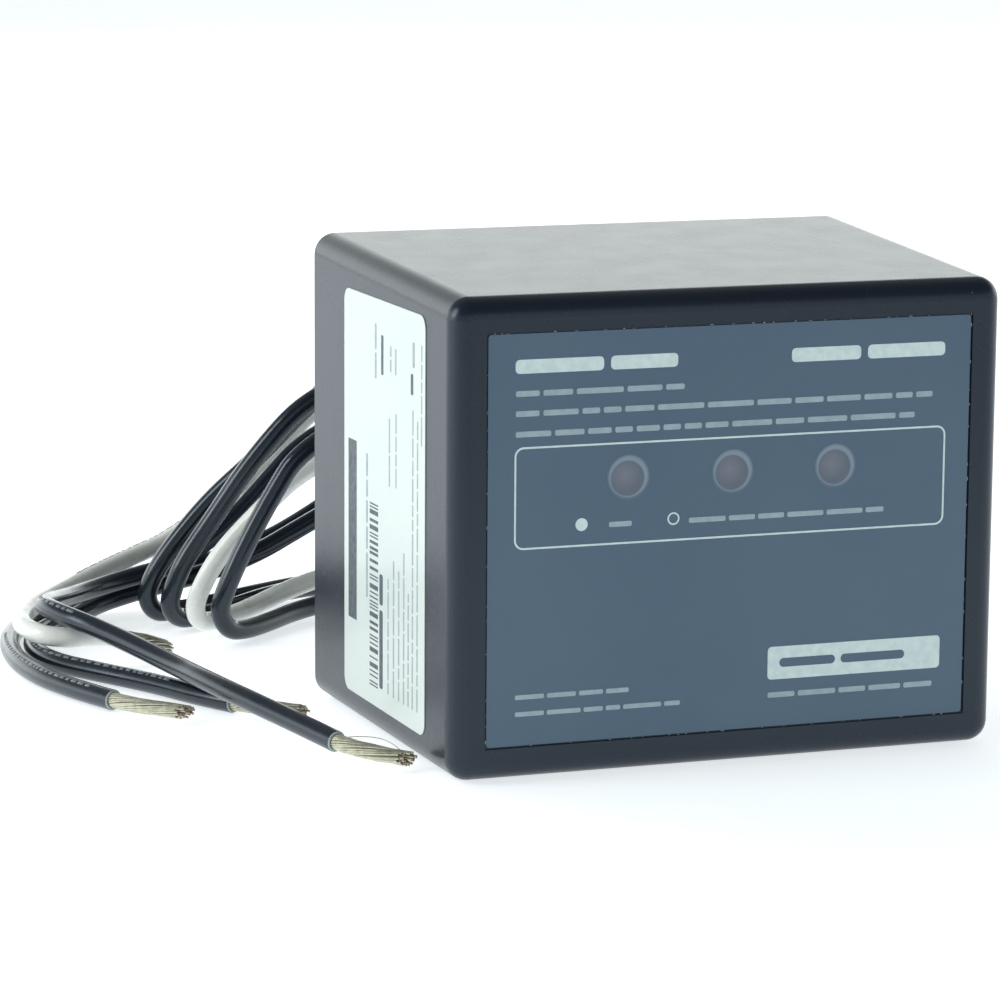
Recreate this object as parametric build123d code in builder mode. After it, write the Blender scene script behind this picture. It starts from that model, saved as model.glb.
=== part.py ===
from build123d import *
import math
import os

os.makedirs("parts", exist_ok=True)

# Overall box. +Z is up and the front face looks along -Y.
FRONT_Y = -48.5
DEPTH = 79.0
REAR_Y = FRONT_Y + DEPTH
FRONT_WIDTH = 110.0
FRONT_HEIGHT = 90.0
SIDE_DRAFT = 0.0262
TOP_DRAFT = 0.0436
EDGE_ROUND = 4.2
FRONT_ROUND = 4.0
WALL = 2.6
FRONT_WALL = 3.2
COVER_THICKNESS = 2.5
COVER_GAP = 0.15

# Label recess and the round status windows in it.
RECESS_DEPTH = 0.5
RECESS_HALF_WIDTH = 48.6
RECESS_LOW = 6.25
RECESS_HIGH = 83.75
LABEL_MARGIN = 0.35
LABEL_THICKNESS = 0.3
WINDOW_XS = (-20.8, 0.0, 20.8)
WINDOW_Z = 55.9
WINDOW_RADIUS = 3.6

# Threaded nipple, half inch trade size.
NIPPLE_Z = 47.0
NIPPLE_END_Y = 48.5
NIPPLE_RADIUS = 10.4
NIPPLE_BORE = 7.9
FLANGE_RADIUS = 14.0
FLANGE_THICKNESS = 2.4
LOCKNUT_BORE = 10.47
WIRE_OFFSET = 2.7

# Conductors.
LEAD_DIAMETER = 4.2
STRAND_DIAMETER = 3.4

# Circuit board.
BOARD_FRONT_Y = -34.0
BOARD_THICKNESS = 1.6
BOARD_REAR_Y = BOARD_FRONT_Y + BOARD_THICKNESS
BOARD_Z = 45.0
BOARD_SCREWS = [(x, BOARD_Z + z) for x in (-40.0, 40.0) for z in (-29.0, 29.0)]
COVER_SCREWS = [(x, z) for x in (-48.5, 48.5) for z in (8.5, 84.5)]


def facing_front(y, x=0.0, z=0.0):
    """Sketch plane at this y, extruding toward the front, local y up."""
    return Plane(origin=(x, y, z), x_dir=(1, 0, 0), z_dir=(0, -1, 0))


def facing_rear(y, x=0.0, z=0.0):
    """Sketch plane at this y, extruding toward the rear, local y up."""
    return Plane(origin=(x, y, z), x_dir=(-1, 0, 0), z_dir=(0, 1, 0))


def half_width(y):
    return FRONT_WIDTH / 2 + SIDE_DRAFT * (y - FRONT_Y)


def height(y):
    return FRONT_HEIGHT + TOP_DRAFT * (y - FRONT_Y)


def tapered_block(y_front, y_rear, inset):
    """Solid between two y stations that follows the drafted walls, set in by inset."""
    rings = []
    for y in (y_front, y_rear):
        side = half_width(y) - inset
        top = height(y) - inset
        rings.append([(-side, y, inset), (side, y, inset), (side, y, top), (-side, y, top)])
    front, rear = rings
    outlines = [front, rear]
    for i in range(4):
        j = (i + 1) % 4
        outlines.append([front[i], front[j], rear[j], rear[i]])
    return Solid(Shell([Face(Wire.make_polygon(outline)) for outline in outlines]))


def tube(points, diameter, label):
    """Sweep a round wire along straight runs joined by tangent arcs."""
    radii = []
    for before, here, after in zip(points, points[1:], points[2:]):
        back = Vector(*before) - Vector(*here)
        ahead = Vector(*after) - Vector(*here)
        turn = math.radians(180.0 - back.get_angle(ahead))
        radii.append(0.45 * min(back.length, ahead.length) / math.tan(turn / 2))
    with BuildPart() as wire:
        with BuildLine() as path:
            FilletPolyline(*points, radius=radii)
        start = Vector(*points[1]) - Vector(*points[0])
        with BuildSketch(Plane(origin=points[0], z_dir=start)):
            Circle(diameter / 2)
        sweep(path=path.wires()[0])
    length = path.wires()[0].length
    expected = math.pi * diameter**2 / 4 * length
    print(label, "length", round(length, 1), "volume / expected", round(wire.part.volume / expected, 4))
    print("  radii", [round(r, 1) for r in radii])
    wire.part.label = label
    export_step(wire.part, "parts/" + label + ".step")
    return wire.part


# ---------------------------------------------------------------- enclosure

with BuildPart() as housing_shell:
    add(tapered_block(FRONT_Y, REAR_Y, 0.0))
    depth_edges = housing_shell.edges().filter_by(lambda e: abs((e @ 1 - e @ 0).Y) > DEPTH - 1)
    fillet(depth_edges, radius=EDGE_ROUND)
    fillet(housing_shell.faces().sort_by(Axis.Y)[0].edges(), radius=FRONT_ROUND)
    add(tapered_block(FRONT_Y + FRONT_WALL, REAR_Y + 1.0, WALL), mode=Mode.SUBTRACT)
    # Corner posts that the cover sits on and its screws bite into.
    with BuildSketch(facing_rear(FRONT_Y + FRONT_WALL - 0.5)):
        for x, z in COVER_SCREWS:
            with Locations((-x, z)):
                Circle(3.6)
    extrude(amount=REAR_Y - COVER_THICKNESS - FRONT_Y - FRONT_WALL + 0.5)
    with BuildSketch(facing_rear(REAR_Y - COVER_THICKNESS - 12.0)):
        for x, z in COVER_SCREWS:
            with Locations((-x, z)):
                Circle(1.3)
    extrude(amount=12.5, mode=Mode.SUBTRACT)
    # Pillars that carry the circuit board.
    with BuildSketch(facing_rear(FRONT_Y + FRONT_WALL - 0.5)):
        for x, z in BOARD_SCREWS:
            with Locations((-x, z)):
                Circle(3.2)
    extrude(amount=BOARD_FRONT_Y - FRONT_Y - FRONT_WALL + 0.5)
    with BuildSketch(facing_rear(BOARD_FRONT_Y - 8.0)):
        for x, z in BOARD_SCREWS:
            with Locations((-x, z)):
                Circle(1.15)
    extrude(amount=8.5, mode=Mode.SUBTRACT)
    # Shallow recess for the front label, and the window holes.
    recess_tall = RECESS_HIGH - RECESS_LOW
    with BuildSketch(facing_rear(FRONT_Y - 1.0, z=RECESS_LOW + recess_tall / 2)):
        Rectangle(2 * RECESS_HALF_WIDTH, recess_tall)
    extrude(amount=1.0 + RECESS_DEPTH, mode=Mode.SUBTRACT)
    with BuildSketch(facing_rear(FRONT_Y - 1.0)):
        for x in WINDOW_XS:
            with Locations((-x, WINDOW_Z)):
                Circle(WINDOW_RADIUS + 0.05)
    extrude(amount=1.0 + FRONT_WALL + 1.0, mode=Mode.SUBTRACT)
housing_shell.part.label = "housing_shell"
export_step(housing_shell.part, "parts/housing_shell.step")

label_low = RECESS_LOW + LABEL_MARGIN
label_tall = RECESS_HIGH - RECESS_LOW - 2 * LABEL_MARGIN
with BuildPart() as front_label:
    with BuildSketch(facing_front(FRONT_Y + RECESS_DEPTH, z=label_low + label_tall / 2)):
        RectangleRounded(2 * (RECESS_HALF_WIDTH - LABEL_MARGIN), label_tall, 0.6)
        for x in WINDOW_XS:
            with Locations((x, WINDOW_Z - label_low - label_tall / 2)):
                Circle(WINDOW_RADIUS + 0.15, mode=Mode.SUBTRACT)
    extrude(amount=LABEL_THICKNESS)
front_label.part.label = "front_label"
export_step(front_label.part, "parts/front_label.step")

# The side label lies on the drafted left wall.
SIDE_LABEL_Y = (-34.0, 11.8)
SIDE_LABEL_Z = (5.9, 85.2)
side_mid_y = sum(SIDE_LABEL_Y) / 2
side_mid_z = sum(SIDE_LABEL_Z) / 2
side_plane = Plane(
    origin=(-half_width(side_mid_y), side_mid_y, side_mid_z),
    x_dir=(SIDE_DRAFT, -1, 0),
    z_dir=(-1, -SIDE_DRAFT, 0),
)
with BuildPart() as side_label:
    with BuildSketch(side_plane):
        RectangleRounded(SIDE_LABEL_Y[1] - SIDE_LABEL_Y[0], SIDE_LABEL_Z[1] - SIDE_LABEL_Z[0], 2.6)
    extrude(amount=0.15)
side_label.part.label = "side_label"
export_step(side_label.part, "parts/side_label.step")

with BuildPart() as rear_cover:
    add(tapered_block(REAR_Y - COVER_THICKNESS, REAR_Y, WALL + COVER_GAP))
    with BuildSketch(facing_rear(REAR_Y - COVER_THICKNESS - 0.5)):
        with Locations((0, NIPPLE_Z)):
            Circle(NIPPLE_RADIUS + 0.05)
    extrude(amount=COVER_THICKNESS + 1.0, mode=Mode.SUBTRACT)
    with BuildSketch(facing_rear(REAR_Y - COVER_THICKNESS - 0.5)):
        for x, z in COVER_SCREWS:
            with Locations((-x, z)):
                Circle(1.7)
    extrude(amount=COVER_THICKNESS + 1.0, mode=Mode.SUBTRACT)
    for x, z in COVER_SCREWS:
        with Locations(Location((x, REAR_Y - 0.8, z), (-90, 0, 0))):
            Cone(1.7, 3.3, 1.6, mode=Mode.SUBTRACT)
rear_cover.part.label = "rear_cover"
export_step(rear_cover.part, "parts/rear_cover.step")

with BuildPart() as cover_screws:
    for x, z in COVER_SCREWS:
        with BuildSketch(facing_rear(REAR_Y - COVER_THICKNESS - 9.0, x=x, z=z)):
            Circle(1.25)
        extrude(amount=9.0 + COVER_THICKNESS - 1.6)
        with Locations(Location((x, REAR_Y - 0.95, z), (-90, 0, 0))):
            Cone(1.45, 3.0, 1.5)
        # Cross recess in the head.
        with BuildSketch(facing_front(REAR_Y, x=x, z=z)):
            Rectangle(3.0, 0.6)
            Rectangle(0.6, 3.0)
        extrude(amount=1.0, mode=Mode.SUBTRACT)
cover_screws.part.label = "cover_screws"
export_step(cover_screws.part, "parts/cover_screws.step")

# ---------------------------------------------------------------- nipple and its fasteners

flange_front = REAR_Y - COVER_THICKNESS - FLANGE_THICKNESS
with BuildPart() as threaded_nipple:
    with BuildSketch(facing_rear(flange_front, z=NIPPLE_Z)):
        Circle(FLANGE_RADIUS)
    extrude(amount=FLANGE_THICKNESS)
    with BuildSketch(facing_rear(flange_front, z=NIPPLE_Z)):
        Circle(NIPPLE_RADIUS)
    extrude(amount=NIPPLE_END_Y - flange_front)
    chamfer(threaded_nipple.faces().sort_by(Axis.Y)[-1].edges(), length=0.7)
    with BuildSketch(facing_rear(flange_front - 1.0, z=NIPPLE_Z)):
        Circle(NIPPLE_BORE)
    extrude(amount=NIPPLE_END_Y - flange_front + 2.0, mode=Mode.SUBTRACT)
threaded_nipple.part.label = "threaded_nipple"
export_step(threaded_nipple.part, "parts/threaded_nipple.step")

with BuildPart() as nipple_seal_plug:
    with BuildSketch(facing_rear(36.0, z=NIPPLE_Z)):
        Circle(NIPPLE_BORE)
        with GridLocations(2 * WIRE_OFFSET, 2 * WIRE_OFFSET, 2, 2):
            Circle(LEAD_DIAMETER / 2, mode=Mode.SUBTRACT)
    extrude(amount=8.0)
nipple_seal_plug.part.label = "nipple_seal_plug"
export_step(nipple_seal_plug.part, "parts/nipple_seal_plug.step")

WASHER_Y = REAR_Y + 3.0
WASHER_THICKNESS = 1.5
with BuildPart() as sealing_washer:
    with BuildSketch(facing_rear(WASHER_Y, z=NIPPLE_Z)):
        Circle(14.8)
        Circle(NIPPLE_RADIUS + 0.08, mode=Mode.SUBTRACT)
    extrude(amount=WASHER_THICKNESS)
sealing_washer.part.label = "sealing_washer"
export_step(sealing_washer.part, "parts/sealing_washer.step")

LOCKNUT_Y = WASHER_Y + WASHER_THICKNESS + 0.1
LOCKNUT_THICKNESS = 4.2
with BuildPart() as locknut:
    with BuildSketch(facing_rear(LOCKNUT_Y, z=NIPPLE_Z)):
        Circle(12.9)
        with PolarLocations(13.4, 8):
            RectangleRounded(2.4, 5.4, 0.5)
        Circle(LOCKNUT_BORE, mode=Mode.SUBTRACT)
    extrude(amount=LOCKNUT_THICKNESS)
    chamfer(locknut.edges().filter_by(lambda e: abs(e.radius - LOCKNUT_BORE) < 0.01
                                      if e.geom_type == GeomType.CIRCLE else False), length=0.4)
locknut.part.label = "locknut"
export_step(locknut.part, "parts/locknut.step")

# ---------------------------------------------------------------- status lights

for number, x in enumerate(WINDOW_XS, start=1):
    name = "status_window_%d" % number
    with BuildPart() as window:
        with BuildSketch(facing_front(FRONT_Y + FRONT_WALL - 1.2, x=x, z=WINDOW_Z)):
            Circle(WINDOW_RADIUS)
        extrude(amount=FRONT_WALL - 1.2 - RECESS_DEPTH)
        with BuildSketch(facing_front(FRONT_Y + FRONT_WALL + 0.8, x=x, z=WINDOW_Z)):
            Circle(WINDOW_RADIUS + 1.2)
        extrude(amount=0.8)
        with BuildSketch(facing_front(FRONT_Y + FRONT_WALL, x=x, z=WINDOW_Z)):
            Circle(WINDOW_RADIUS)
        extrude(amount=1.2)
        fillet(window.faces().sort_by(Axis.Y)[0].edges(), radius=0.4)
    window.part.label = name
    export_step(window.part, "parts/" + name + ".step")

    name = "status_led_%d" % number
    with BuildPart() as led:
        with BuildSketch(facing_front(BOARD_FRONT_Y, x=x, z=WINDOW_Z)):
            Circle(2.9)
        extrude(amount=1.0)
        with BuildSketch(facing_front(BOARD_FRONT_Y, x=x, z=WINDOW_Z)):
            Circle(2.5)
        extrude(amount=6.1)
        with Locations((x, BOARD_FRONT_Y - 6.1, WINDOW_Z)):
            Sphere(2.5)
    led.part.label = name
    export_step(led.part, "parts/" + name + ".step")

with BuildPart() as led_sleeves:
    with BuildSketch(facing_front(BOARD_FRONT_Y)):
        for x in WINDOW_XS:
            with Locations((x, WINDOW_Z)):
                Circle(4.4)
                Circle(3.2, mode=Mode.SUBTRACT)
    extrude(amount=BOARD_FRONT_Y - FRONT_Y - FRONT_WALL - 0.9)
led_sleeves.part.label = "led_sleeves"
export_step(led_sleeves.part, "parts/led_sleeves.step")

# ---------------------------------------------------------------- circuit board and what it carries

with BuildPart() as circuit_board:
    with BuildSketch(facing_rear(BOARD_FRONT_Y, z=BOARD_Z)):
        RectangleRounded(90.0, 68.0, 2.0)
        for x, z in BOARD_SCREWS:
            with Locations((-x, z - BOARD_Z)):
                Circle(1.6, mode=Mode.SUBTRACT)
    extrude(amount=BOARD_THICKNESS)
circuit_board.part.label = "circuit_board"
export_step(circuit_board.part, "parts/circuit_board.step")

with BuildPart() as board_screws:
    for x, z in BOARD_SCREWS:
        with BuildSketch(facing_rear(BOARD_REAR_Y, x=x, z=z)):
            Circle(2.7)
        extrude(amount=1.9, taper=16)
        with BuildSketch(facing_front(BOARD_REAR_Y, x=x, z=z)):
            Circle(1.1)
        extrude(amount=8.0)
        with BuildSketch(facing_front(BOARD_REAR_Y + 2.2, x=x, z=z)):
            Rectangle(2.6, 0.6)
            Rectangle(0.6, 2.6)
        extrude(amount=1.3, mode=Mode.SUBTRACT)
board_screws.part.label = "board_screws"
export_step(board_screws.part, "parts/board_screws.step")

# Metal oxide varistor discs standing edge on, two rows of three.
VARISTOR_RADIUS = 10.2
VARISTOR_THICKNESS = 5.2
VARISTOR_STAND_OFF = 2.0
VARISTORS = [(x, z) for z in (62.0, 27.0) for x in (-34.0, -23.0, -12.0)]
for number, (x, z) in enumerate(VARISTORS, start=1):
    name = "varistor_%d" % number
    centre_y = BOARD_REAR_Y + VARISTOR_STAND_OFF + VARISTOR_RADIUS
    with BuildPart() as varistor:
        with Locations(Location((x, centre_y, z), (0, 90, 0))):
            Cylinder(VARISTOR_RADIUS, VARISTOR_THICKNESS)
        fillet(varistor.edges(), radius=1.6)
        for pin_x, pin_z in ((x - 1.2, z - 5.0), (x + 1.2, z + 5.0)):
            with BuildSketch(facing_rear(BOARD_REAR_Y, x=pin_x, z=pin_z)):
                Circle(0.5)
            extrude(amount=VARISTOR_STAND_OFF + 4.0)
    varistor.part.label = name
    export_step(varistor.part, "parts/" + name + ".step")

# Thermal fuse link between each pair of varistors, lying across the board.
for number, x in enumerate((-34.0, -23.0, -12.0), start=1):
    name = "thermal_fuse_%d" % number
    with BuildPart() as fuse:
        with Locations((x, BOARD_REAR_Y + 3.2, 44.5)):
            Cylinder(2.0, 9.0)
        fillet(fuse.edges(), radius=0.5)
        with Locations((x, BOARD_REAR_Y + 3.2, 44.5)):
            Cylinder(0.45, 12.0)
        for z in (38.95, 50.05):
            with BuildSketch(facing_rear(BOARD_REAR_Y, x=x, z=z)):
                Circle(0.45)
            extrude(amount=3.65)
    fuse.part.label = name
    export_step(fuse.part, "parts/" + name + ".step")

# Film capacitors beside the lead terminals.
for number, z in enumerate((25.0, 44.5, 64.0), start=1):
    name = "film_capacitor_%d" % number
    with BuildPart() as capacitor:
        with BuildSketch(facing_rear(BOARD_REAR_Y + 0.6, x=-0.5, z=z)):
            Rectangle(8.0, 14.0)
        extrude(amount=13.0)
        fillet(capacitor.edges(), radius=0.7)
        for pin_z in (z - 5.0, z + 5.0):
            with BuildSketch(facing_rear(BOARD_REAR_Y, x=-0.5, z=pin_z)):
                Circle(0.4)
            extrude(amount=1.5)
    capacitor.part.label = name
    export_step(capacitor.part, "parts/" + name + ".step")


def axial_parts(stations, radius, body_length, span, label):
    """Small axial components lying on the front of the board, one solid each."""
    with BuildPart() as group:
        for x, z in stations:
            y = BOARD_FRONT_Y - radius - 0.5
            with Locations((x, y, z)):
                Cylinder(radius, body_length)
                Cylinder(0.3, span)
            for end in (-1, 1):
                with BuildSketch(facing_front(BOARD_FRONT_Y, x=x, z=z + end * (span / 2 - 0.3))):
                    Circle(0.3)
                extrude(amount=radius + 0.8)
    group.part.label = label
    export_step(group.part, "parts/" + label + ".step")


axial_parts([(x, 38.0) for x in WINDOW_XS], 1.15, 6.4, 11.0, "led_resistors")
axial_parts([(x + 7.0, 38.0) for x in WINDOW_XS], 1.35, 5.2, 10.0, "rectifier_diodes")

# ---------------------------------------------------------------- lead terminals and wires inside

TERMINALS = [(30.0, 62.0), (30.0, 30.0), (17.0, 30.0), (17.0, 62.0)]
WIRE_EXITS = [
    (WIRE_OFFSET, NIPPLE_Z + WIRE_OFFSET),
    (WIRE_OFFSET, NIPPLE_Z - WIRE_OFFSET),
    (-WIRE_OFFSET, NIPPLE_Z - WIRE_OFFSET),
    (-WIRE_OFFSET, NIPPLE_Z + WIRE_OFFSET),
]
for number, (x, z) in enumerate(TERMINALS, start=1):
    name = "lead_terminal_%d" % number
    with BuildPart() as terminal:
        with BuildSketch(facing_rear(BOARD_REAR_Y, x=x, z=z)):
            Rectangle(8.0, 8.0)
        extrude(amount=1.2)
        with BuildSketch(facing_rear(BOARD_REAR_Y, x=x, z=z)):
            Circle(3.1)
        extrude(amount=7.0)
        with BuildSketch(facing_rear(BOARD_REAR_Y + 2.0, x=x, z=z)):
            Circle(LEAD_DIAMETER / 2)
        extrude(amount=6.0, mode=Mode.SUBTRACT)
    terminal.part.label = name
    export_step(terminal.part, "parts/" + name + ".step")

for number, ((x, z), (exit_x, exit_z)) in enumerate(zip(TERMINALS, WIRE_EXITS), start=1):
    points = [
        (x, BOARD_REAR_Y + 2.0, z),
        (x, -8.0, z),
        (exit_x, 16.0, exit_z),
        (exit_x, NIPPLE_END_Y, exit_z),
    ]
    tube(points, LEAD_DIAMETER, "inner_wire_%d" % number)

# ---------------------------------------------------------------- free leads

# Hand-laid routes: out of the nipple, over and down to a first fold on the floor,
# back behind the box, up round a hank fold, out again low, and round to the stripped end.
LEAD_BLACK_1 = [
    (2.7, 48.5, 49.7), (2.7, 61, 49.7), (-2.5, 75, 56), (-14, 86, 60), (-27, 92, 59.5),
    (-38.5, 95, 49), (-49.5, 98, 37), (-59, 101, 28), (-67, 103, 18), (-71, 104.5, 11.5),
    (-72.5, 105.5, 6.4), (-70, 107, 2.5), (-65.5, 109.5, 2.1), (-57, 113.5, 2.1), (-44, 120, 2.6),
    (-29, 126, 3), (-14, 130, 2.5), (2, 132, 3), (16, 132, 9), (23, 130.5, 21),
    (20, 127, 34), (9, 121, 42.5), (-5, 117.5, 45), (-19, 117, 43), (-33.5, 117, 37),
    (-42.5, 117, 27.5), (-51, 116.5, 19), (-63, 116, 10.8), (-72.5, 116.5, 8.8), (-81, 113, 7.7),
    (-91, 102, 8), (-101, 83, 11.2), (-100.5, 72, 11.7), (-93, 59.5, 9.6), (-84.5, 36, 6.8),
    (-82.5, 20, 7), (-79, 6, 6.4), (-73.5, -9, 4.8), (-69, -22, 3.4),
]
LEAD_BLACK_2 = [
    (2.7, 48.5, 44.3), (2.7, 60, 44.3), (-2, 71, 49), (-12, 80, 53.5), (-25, 86, 56),
    (-40.5, 89, 51.5), (-52.5, 91, 38), (-60.5, 94, 25), (-66.5, 95.5, 16), (-68.5, 96.5, 10.6),
    (-69.5, 97.5, 6), (-67, 99.5, 2.5), (-62.5, 101.5, 2.1), (-54.5, 106, 2.3), (-43, 113.5, 3.4),
    (-30, 120, 3.5), (-15, 124, 2.5), (-1, 125, 2.5), (8, 125, 7.5), (11, 125, 16.5),
    (8, 125, 25.5), (-1, 125, 30.5), (-14, 124.5, 28.5), (-31, 124, 18), (-42.5, 124, 12.5),
    (-54, 124.5, 9.3), (-62.5, 125, 7.2), (-70, 126, 5), (-78.5, 124, 3), (-88, 116.5, 2.1),
    (-98, 108.5, 2.1), (-104.5, 96.5, 2.1), (-108, 82, 2.1), (-109, 65, 2.1), (-106, 46.5, 2.1),
    (-99, 30, 2.1),
]
LEAD_WHITE = [
    (-2.7, 48.5, 44.3), (-2.7, 60, 44.3), (-7.5, 70.5, 46.5), (-18, 78, 46), (-29, 82, 43.5),
    (-44.5, 84, 35.8), (-52.5, 86, 27.5), (-60.5, 88, 18.8), (-64.5, 90, 10.8), (-65.5, 91.5, 6),
    (-63.5, 93.5, 2.6), (-59, 96, 2.4), (-51, 100.5, 3.3), (-40.5, 107.5, 5.4), (-28.5, 113, 7.4),
    (-13, 115.5, 6.5), (4, 117, 4), (20, 119, 7), (30, 122, 19), (30, 126, 34),
    (19, 129, 46), (3, 131, 51), (-13, 131, 49), (-28, 131, 41), (-38.5, 131, 28.8),
    (-50.5, 131, 20.3), (-61, 130, 13.6), (-69.5, 128, 11.1), (-79, 124, 8.5), (-89, 115, 6.8),
    (-98, 102.5, 6.8), (-103.5, 90, 7.2), (-105.5, 80, 7.2), (-103.5, 73, 6.8), (-98.5, 70, 6.3),
    (-93, 71, 6.4), (-88, 72, 5.6),
]
LEAD_BLACK_3 = [
    (-2.7, 48.5, 49.7), (-2.7, 58, 49.7), (-7, 67, 51), (-16, 73, 51.5), (-28, 76, 50.5),
    (-46, 77, 42.2), (-52, 78, 32.3), (-57.5, 79, 22), (-61.5, 80, 12.8), (-63, 81, 7.4),
    (-60.5, 82.5, 3), (-56, 85.5, 2.1), (-49.5, 91, 2.1), (-39, 101, 2.5), (-24, 108, 3.2),
    (-8, 111, 2.5), (6, 112, 2.5), (14.5, 113, 7), (17.5, 114, 16), (14.5, 115, 25),
    (6, 115.5, 30), (-6, 116, 29), (-19, 116, 25.5), (-34.5, 116, 17.6), (-44.5, 117, 12),
    (-55.5, 118, 8.3), (-64.5, 119, 6.4), (-72, 119, 4.7), (-80.5, 116.5, 3.2), (-88.5, 107.5, 2.1),
    (-95.5, 101.5, 2.1), (-101.5, 89.5, 2.1), (-103.5, 77, 2.1), (-101.5, 66, 2.1), (-95.5, 55.5, 2.1),
    (-87.5, 42, 2.1), (-81.5, 28, 2.1), (-77, 20.5, 2.1),
]
FREE_LEADS = {
    "lead_black_1": LEAD_BLACK_1,
    "lead_black_2": LEAD_BLACK_2,
    "lead_white": LEAD_WHITE,
    "lead_black_3": LEAD_BLACK_3,
}
for name, points in FREE_LEADS.items():
    tube(points, LEAD_DIAMETER, name)

# Bare tinned strands past each cut end.
STRIPPED_TIPS = {
    "stripped_end_1": (LEAD_BLACK_1, (-58, -34, 1.9)),
    "stripped_end_2": (LEAD_BLACK_2, (-87.5, 15.5, 1.9)),
    "stripped_end_3": (LEAD_WHITE, (-76, 72.5, 2.2)),
    "stripped_end_4": (LEAD_BLACK_3, (-66, 9, 1.9)),
}
for name, (points, tip) in STRIPPED_TIPS.items():
    end = Vector(*points[-1])
    heading = (end - Vector(*points[-2])).normalized()
    bend = end + heading * 5.0
    tube([tuple(end), tuple(bend), tip], STRAND_DIAMETER, name)
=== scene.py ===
import math
import random

import bpy
from mathutils import Matrix, Vector


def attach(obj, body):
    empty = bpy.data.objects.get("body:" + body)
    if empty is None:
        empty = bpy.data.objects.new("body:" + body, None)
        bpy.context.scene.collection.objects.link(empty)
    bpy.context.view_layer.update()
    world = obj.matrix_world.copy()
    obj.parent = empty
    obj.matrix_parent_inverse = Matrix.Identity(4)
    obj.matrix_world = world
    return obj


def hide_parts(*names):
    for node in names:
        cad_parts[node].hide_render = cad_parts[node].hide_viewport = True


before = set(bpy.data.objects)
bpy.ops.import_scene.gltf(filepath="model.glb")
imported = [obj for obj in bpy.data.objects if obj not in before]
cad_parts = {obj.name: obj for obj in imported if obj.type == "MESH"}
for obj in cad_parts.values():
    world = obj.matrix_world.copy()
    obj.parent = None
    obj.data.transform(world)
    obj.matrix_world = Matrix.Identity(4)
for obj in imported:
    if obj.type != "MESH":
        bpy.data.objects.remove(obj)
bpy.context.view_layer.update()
scene = bpy.context.scene
MM = 0.001


def collect(data, name):
    """Put new data in the scene as an object of that name."""
    obj = bpy.data.objects.new(name, data)
    scene.collection.objects.link(obj)
    return obj


# ---------------------------------------------------------------- camera

YAW, PITCH, ROLL = 0.3419, 0.1796, 0.0064
forward = Vector((math.sin(YAW) * math.cos(PITCH), math.cos(YAW) * math.cos(PITCH), -math.sin(PITCH)))
level = Vector((math.cos(YAW), -math.sin(YAW), 0.0))
up = level.cross(forward)
cam_x = level * math.cos(ROLL) + up * math.sin(ROLL)
cam_y = up * math.cos(ROLL) - level * math.sin(ROLL)
camera = collect(bpy.data.cameras.new("camera"), "camera")
camera.data.lens = 149.9
camera.data.sensor_width = 36.0
camera.data.clip_start = 0.05
camera.data.clip_end = 20.0
camera.matrix_world = Matrix.Translation((-0.2965, -0.7526, 0.1887)) @ Matrix(
    (cam_x, cam_y, -forward)
).transposed().to_4x4()
scene.camera = camera

# ---------------------------------------------------------------- materials


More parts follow.
